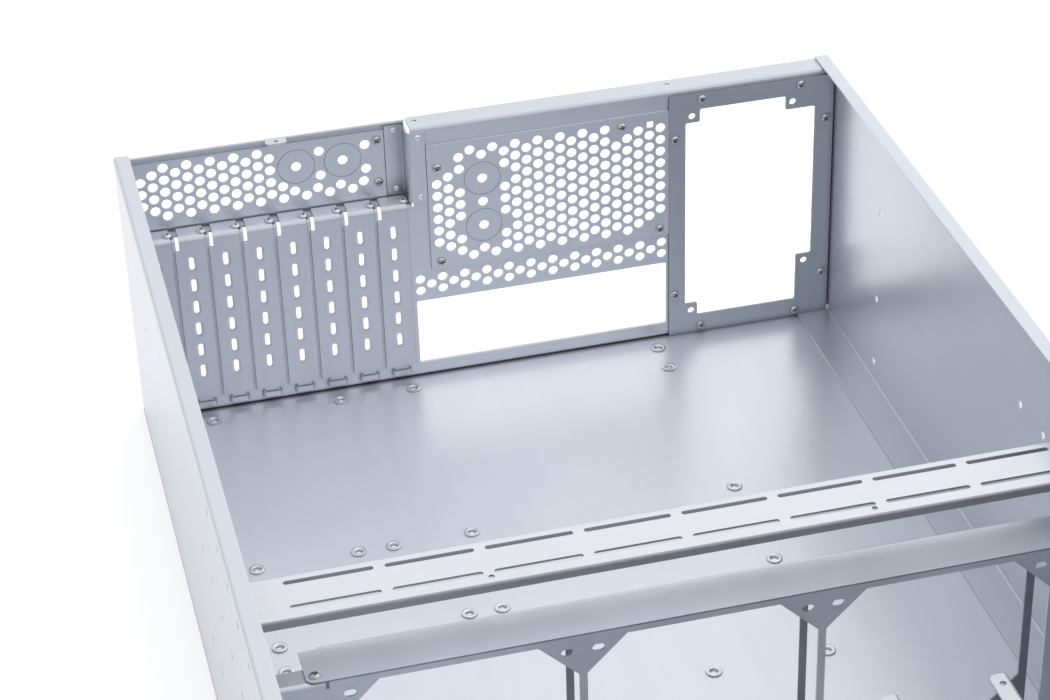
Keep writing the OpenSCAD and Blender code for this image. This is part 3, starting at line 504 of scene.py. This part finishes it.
def pan_head_screw(bm, place, radius, height, shank, reach):
    """Pan head with a cross recess, over a shank that goes down the local -Z."""
    sizes = settings().fasteners
    centre = bm.verts.new(place @ Vector((0, 0, height - sizes.recess_depth)))
    rings = []
    for step in HEAD_STEPS:
        r = radius * step
        crown = height * (1 - step ** 3.2) ** 0.55
        row = []
        for angle in angles(SEGMENTS):
            z = crown - recess_depth_at(r * math.cos(angle), r * math.sin(angle), sizes)
            row.append(bm.verts.new(turned(r, angle, max(z, 0), place)))
        rings.append(row)
    for i in range(SEGMENTS):
        bm.faces.new((centre, rings[0][i], rings[0][(i + 1) % SEGMENTS]))
    for a, b in zip(rings, rings[1:]):
        bridge(bm, a, b)
    shaft = [(shank, 0), (shank, -reach + TIP_CHAMFER), (shank - TIP_CHAMFER, -reach)]
    under = lathe(bm, shaft, place)
    bridge(bm, rings[-1], under[0])
    bm.faces.new(under[-1])


def screws(name, direction, plating=bright_nickel):
    """Replaces a node of pan screws whose heads point along direction.

    For the mirrored nodes, that is the direction at the right.
    """
    bm = bmesh.new()
    axis = max(range(3), key=lambda k: abs(direction[k]))
    across = [k for k in range(3) if k != axis][0]
    head = OTHER_HEADS.get(name, HEAD_HEIGHT)
    for i, (low, high) in enumerate(solids(name)):
        way = Vector(direction)
        if name in MIRRORED and low.x < 0:
            way = -way
        radius = (high[across] - low[across]) / 2
        seat = (low + high) / 2
        top = high[axis] if way[axis] > 0 else low[axis]
        seat[axis] = top - way[axis] * head
        pan_head_screw(bm, facing(seat, way, TURN_BETWEEN * i), radius, head,
                       settings().fasteners.thread, high[axis] - low[axis] - head)
    piece(name + "_look", bm, plating(), "nickel", name)


def hexagon(angle, flat):
    """Radius of a hexagon at an angle, from half the width over its flats."""
    sixth = math.pi / 6
    from_corner = (angle + sixth) % (2 * sixth) - sixth
    from_flat = from_corner - sixth if from_corner > 0 else from_corner + sixth
    return flat / math.cos(from_flat)


# Studio

def seen(nodes):
    """1 for rays from the camera, and for those that metal or glass reflects or lets through."""
    path = nodes.add("ShaderNodeLightPath").outputs
    mirrored = nodes.math("MAXIMUM", path["Is Glossy Ray"], path["Is Transmission Ray"])
    return path["Is Camera Ray"], mirrored


def studio_floor():
    """Pale floor that keeps the case's shadow and glows to white for the camera."""
    studio = settings().studio
    bm = bmesh.new()
    bmesh.ops.create_grid(bm, x_segments=1, y_segments=1, size=FLOOR_HALF)
    mesh = bpy.data.meshes.new("studio_floor")
    bm.to_mesh(mesh)
    bm.free()
    floor = bpy.data.objects.new("studio_floor", mesh)
    floor.location.z = CAD_BOX[0][2] - FLOOR_GAP
    bpy.context.scene.collection.objects.link(floor)
    material, nodes = new_material("studio_paint")
    camera, mirrored = seen(nodes)
    paint = nodes.add("ShaderNodeBsdfPrincipled", Base_Color=(*studio.floor, 1), Roughness=0.6)
    strength = nodes.math("MAXIMUM", nodes.math("MULTIPLY", camera, studio.floor_seen),
                          nodes.math("MULTIPLY", mirrored, studio.floor_mirrored))
    glow = nodes.add("ShaderNodeEmission", Color=WHITE, Strength=strength)
    both = nodes.add("ShaderNodeAddShader")
    nodes.put(both.inputs[0], paint.outputs["BSDF"])
    nodes.put(both.inputs[1], glow.outputs["Emission"])
    nodes.add("ShaderNodeOutputMaterial", Surface=both.outputs["Shader"])
    mesh.materials.append(material)


def studio_world():
    """White to the camera; metal sees a pale room that darkens to the front and the left."""
    studio = settings().studio
    world = bpy.data.worlds.new("studio")
    bpy.context.scene.world = world
    world.use_nodes = True
    nodes = Nodes(world.node_tree)
    camera, mirrored = seen(nodes)
    around = nodes.add("ShaderNodeTexCoord").outputs["Generated"]
    way = nodes.add("ShaderNodeSeparateXYZ", Vector=around)
    backdrop = nodes.span(way.outputs["Y"], studio.room, studio.backdrop, *FRONT_TO_REAR)
    across = nodes.span(way.outputs["X"], studio.left_side, studio.right_side, *LEFT_TO_RIGHT)
    backdrop = nodes.math("MULTIPLY", backdrop, across)
    dull = nodes.math("MULTIPLY", studio.sky, across)
    sky = nodes.math("ADD", dull, nodes.math("MULTIPLY", mirrored,
                                             nodes.math("SUBTRACT", backdrop, dull)))
    strength = nodes.math("ADD", sky, nodes.math("MULTIPLY", camera,
                                                 nodes.math("SUBTRACT", 1.0, sky)))
    light = nodes.add("ShaderNodeBackground", Color=WHITE, Strength=strength)
    nodes.add("ShaderNodeOutputWorld", Surface=light.outputs["Background"])


def soft_box(name, place, aim, size, watts):
    """Square lamp that the sheets don't mirror as a white patch."""
    lamp = bpy.data.lights.new(name, "AREA")
    lamp.shape = "RECTANGLE"
    lamp.size = lamp.size_y = size
    lamp.energy = watts
    obj = bpy.data.objects.new(name, lamp)
    obj.location = place
    obj.rotation_euler = (Vector(aim) - Vector(place)).to_track_quat("-Z", "Y").to_euler()
    obj.visible_glossy = False
    bpy.context.scene.collection.objects.link(obj)


def studio_lamps():
    """One soft box above and a weaker one at the right."""
    studio = settings().studio
    soft_box("overhead_box", (0.1, 0.4, 1.9), (0, 0, 0), 1.6, studio.overhead)
    soft_box("side_box", (1.6, 0.6, 1.2), (0, 0.1, 0), 1.2, studio.side)


def studio_camera():
    """Camera where the photograph was taken from, from distances that it shows."""
    camera = bpy.data.cameras.new("camera")
    camera.lens = settings().studio.lens
    camera.sensor_width = 36
    obj = bpy.data.objects.new("camera", camera)
    obj.location = CAMERA_PLACE
    turn = (CAMERA_AIM - CAMERA_PLACE).to_track_quat("-Z", "Y").to_matrix().to_4x4()
    obj.rotation_euler = (turn @ Matrix.Rotation(CAMERA_ROLL, 4, "Z")).to_euler()
    bpy.context.scene.collection.objects.link(obj)
    bpy.context.scene.camera = obj


# Operators

class CASE_OT_sheets(bpy.types.Operator):
    """Gives the tray, walls, panels and bars their rolled zinc"""
    bl_idname = "case.sheets"
    bl_label = "Finish the Sheets"

    def execute(self, context):
        sheets = settings().sheets
        # Unless its reach is 0, each finish below has painted shade near seams, slots and
        # corners.
        give(rolled_zinc("tray_zinc_rolled", sheets.tray, Y, blur=0.015), "base_tray")
        # The walls have a painted highlight on their edges and no painted shade.
        give(rolled_zinc("wall_zinc_rolled", sheets.walls, Y, edge=sheets.wall_edge, painted_highlight=1.7,
                         reach=0), "left_wall", "right_wall")
        # Painted shade on the panel's flanges and cut faces, which don't look to the rear.
        give(rolled_zinc("panel_zinc_rolled", sheets.panel, X, reach=5 * MM, painted_side_light=0.84,
                         mottle=0.045), "rear_panel")
        # Painted light on the vent plates' hole walls and edges.
        give(rolled_zinc("vent_zinc_rolled", sheets.panel, X, reach=1.5 * MM, painted_side_light=1.25,
                         mottle=0.045), "middle_vent_plate", "corner_vent_plate")
        # Painted shade on the plate's cut faces and opening edges.
        give(rolled_zinc("plate_zinc_rolled", sheets.power_plate, Z, reach=7 * MM, painted_side_light=0.6),
             "psu_plate")
        # Painted shade reaching far into the post's corner.
        give(rolled_zinc("post_zinc_rolled", sheets.panel, Z, reach=14 * MM), "corner_post")
        # Painted highlight on the covers' edges.
        give(rolled_zinc("cover_zinc_rolled", sheets.covers, Z, edge=sheets.cover_edge, painted_highlight=1.3,
                         reach=2 * MM, mottle=0.045), *COVERS)
        # Painted shade on the bar's faces that look sideways, such as its front flange.
        give(rolled_zinc("bar_zinc_rolled", sheets.bar, X, reach=2.5 * MM, flat=Z, painted_side_light=0.52),
             "cross_bar")
        # Painted shade on the web's faces that look sideways, such as its front edge.
        give(rolled_zinc("web_zinc_rolled", sheets.fans, X, flat=Z, painted_side_light=0.4, mottle=0.07),
             "fan_wall_rear")
        # The fan wall's front plate takes a darker copy of the fan wall's zinc: painted shade.
        give(rolled_zinc("fan_zinc_painted_shade", shade(sheets.fans, 0.88), X), "fan_wall_front")
        give(rolled_zinc("front_zinc_rolled", sheets.front, X), "front_panel")
        give(rolled_zinc("upright_zinc_rolled", sheets.front, Z),
             "left_ear", "right_ear", *DIVIDERS)
        return {"FINISHED"}


class CASE_OT_handles(bpy.types.Operator):
    """Gives the bent handles their satin alloy"""
    bl_idname = "case.handles"
    bl_label = "Finish the Handles"

    def execute(self, context):
        give(satin_alloy(), "left_handle", "right_handle")
        return {"FINISHED"}


class CASE_OT_screws(bpy.types.Operator):
    """Makes the pan head screws with their cross recesses"""
    bl_idname = "case.screws"
    bl_label = "Make the Screws"

    def execute(self, context):
        for name in ("corner_plate_screws", "middle_plate_screws", "psu_plate_screws"):
            screws(name, FRONT)
        # The cover screws get the lighter plating as painted light.
        screws("slot_cover_screws", UP, cover_nickel_painted_light)
        screws("fan_wall_screws", UP)
        screws("cross_bar_screws", LEFT)
        screws("ear_screws", RIGHT)
        screws("handle_screws", REAR)
        return {"FINISHED"}


class CASE_OT_rivets(bpy.types.Operator):
    """Makes the corner post's rivets"""
    bl_idname = "case.rivets"
    bl_label = "Make the Rivets"

    def execute(self, context):
        bm = bmesh.new()
        for low, high in solids("post_rivets"):
            r = (high.x - low.x) / 2
            place = facing(((low.x + high.x) / 2, low.y + MM, (low.z + high.z) / 2), FRONT)
            dome = [(0.0001, 0.7 * MM), (0.26 * r, 0.72 * MM), (0.36 * r, 0.96 * MM),
                    (0.6 * r, 0.9 * MM), (0.8 * r, 0.72 * MM), (0.94 * r, 0.45 * MM),
                    (r, 0.25 * MM), (r, 0)]
            shank = [(1.5 * MM, 0), (1.5 * MM, -2.4 * MM)]
            rings = lathe(bm, dome + shank, place, 32)
            bm.faces.new(rings[0])
            bm.faces.new(rings[-1])
        piece("post_rivets_look", bm, rivet_alloy(), "nickel", "post_rivets")
        return {"FINISHED"}


class CASE_OT_board_nuts(bpy.types.Operator):
    """Makes the press-in nuts of the board's stand-offs, with their threads"""
    bl_idname = "case.board_nuts"
    bl_label = "Make the Board Nuts"

    def execute(self, context):
        bm = bmesh.new()
        for low, high in solids("board_nuts"):
            top = high.z - low.z
            rim = (high.x - low.x) / 2
            outside = [(NUT_SHANK, 0), (NUT_SHANK, 1.2 * MM), (rim, 1.2 * MM),
                       (rim, top - 0.35 * MM), (rim - 0.1 * MM, top - 0.12 * MM),
                       (rim - 0.4 * MM, top)]
            mouth = list(zip(NUT_MOUTH, (top, top - 0.12 * MM, top - 0.5 * MM)))
            thread = [(THREAD_INNER + THREAD_HEIGHT * (k % 2), mouth[-1][1] - THREAD_STEP * k)
                      for k in range(1, THREAD_TURNS)]
            profile = outside + mouth + thread + [(THREAD_INNER + 0.05 * MM, 0)]
            rings = lathe(bm, profile, foot(low, high), 36)
            bridge(bm, rings[-1], rings[0])
        piece("board_nuts_look", bm, bright_zinc(), "nickel", "board_nuts")
        return {"FINISHED"}


class CASE_OT_wall_nuts(bpy.types.Operator):
    """Makes the hexagon nuts under the fan wall's ledges"""
    bl_idname = "case.wall_nuts"
    bl_label = "Make the Fan Wall Nuts"

    def execute(self, context):
        bm = bmesh.new()
        for low, high in solids("fan_wall_nuts"):
            flat = (high.y - low.y) / 2
            top = high.z - low.z
            place = foot(low, high)
            turned_face = flat * 1.02
            rows = []
            for widest, z in ((turned_face, 0), (math.inf, NUT_CHAMFER),
                              (math.inf, top - NUT_CHAMFER), (turned_face, top)):
                row = [(min(hexagon(angle, flat), widest), angle) for angle in angles(SEGMENTS)]
                rows.append([bm.verts.new(turned(r, angle, z, place)) for r, angle in row])
            for a, b in zip(rows, rows[1:]):
                bridge(bm, a, b)
            bore = lathe(bm, [(1.6 * MM, 0), (1.6 * MM, top)], place)
            bridge(bm, rows[0], bore[0])
            bridge(bm, rows[-1], bore[1])
        piece("fan_wall_nuts_look", bm, bright_zinc(), "nickel", "fan_wall_nuts")
        return {"FINISHED"}


class CASE_OT_stage(bpy.types.Operator):
    """Makes the floor, the soft light and the camera"""
    bl_idname = "case.stage"
    bl_label = "Make the Studio"

    def execute(self, context):
        studio_floor()
        studio_world()
        studio_lamps()
        studio_camera()
        context.scene.view_settings.view_transform = "Standard"
        return {"FINISHED"}


# Panel and registration

class CASE_PT_panel(bpy.types.Panel):
    """Lists the sizes, the colours and the steps that dress the case"""
    bl_idname = "CASE_PT_panel"
    bl_label = "Server Case"
    bl_space_type = "VIEW_3D"
    bl_region_type = "UI"
    bl_category = "Server Case"

    def draw(self, context):
        for group in (settings().sheets, settings().fasteners, settings().studio):
            box = self.layout.box()
            for key in group.__annotations__:
                box.prop(group, key)
        for step in STEPS:
            self.layout.operator(step.bl_idname)


STEPS = (CASE_OT_sheets, CASE_OT_handles, CASE_OT_screws, CASE_OT_rivets, CASE_OT_board_nuts,
         CASE_OT_wall_nuts, CASE_OT_stage)
CLASSES = (CaseSheets, CaseFasteners, CaseStudio, ServerCase, *STEPS, CASE_PT_panel)


def register():
    for cls in CLASSES:
        bpy.utils.register_class(cls)
    bpy.types.Scene.server_case = PointerProperty(type=ServerCase)


def unregister():
    del bpy.types.Scene.server_case
    for cls in reversed(CLASSES):
        bpy.utils.unregister_class(cls)


def main():
    """Registers the add-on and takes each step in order."""
    register()
    for step in STEPS:
        group, name = step.bl_idname.split(".")
        getattr(getattr(bpy.ops, group), name)()


if __name__ == "__main__":
    main()
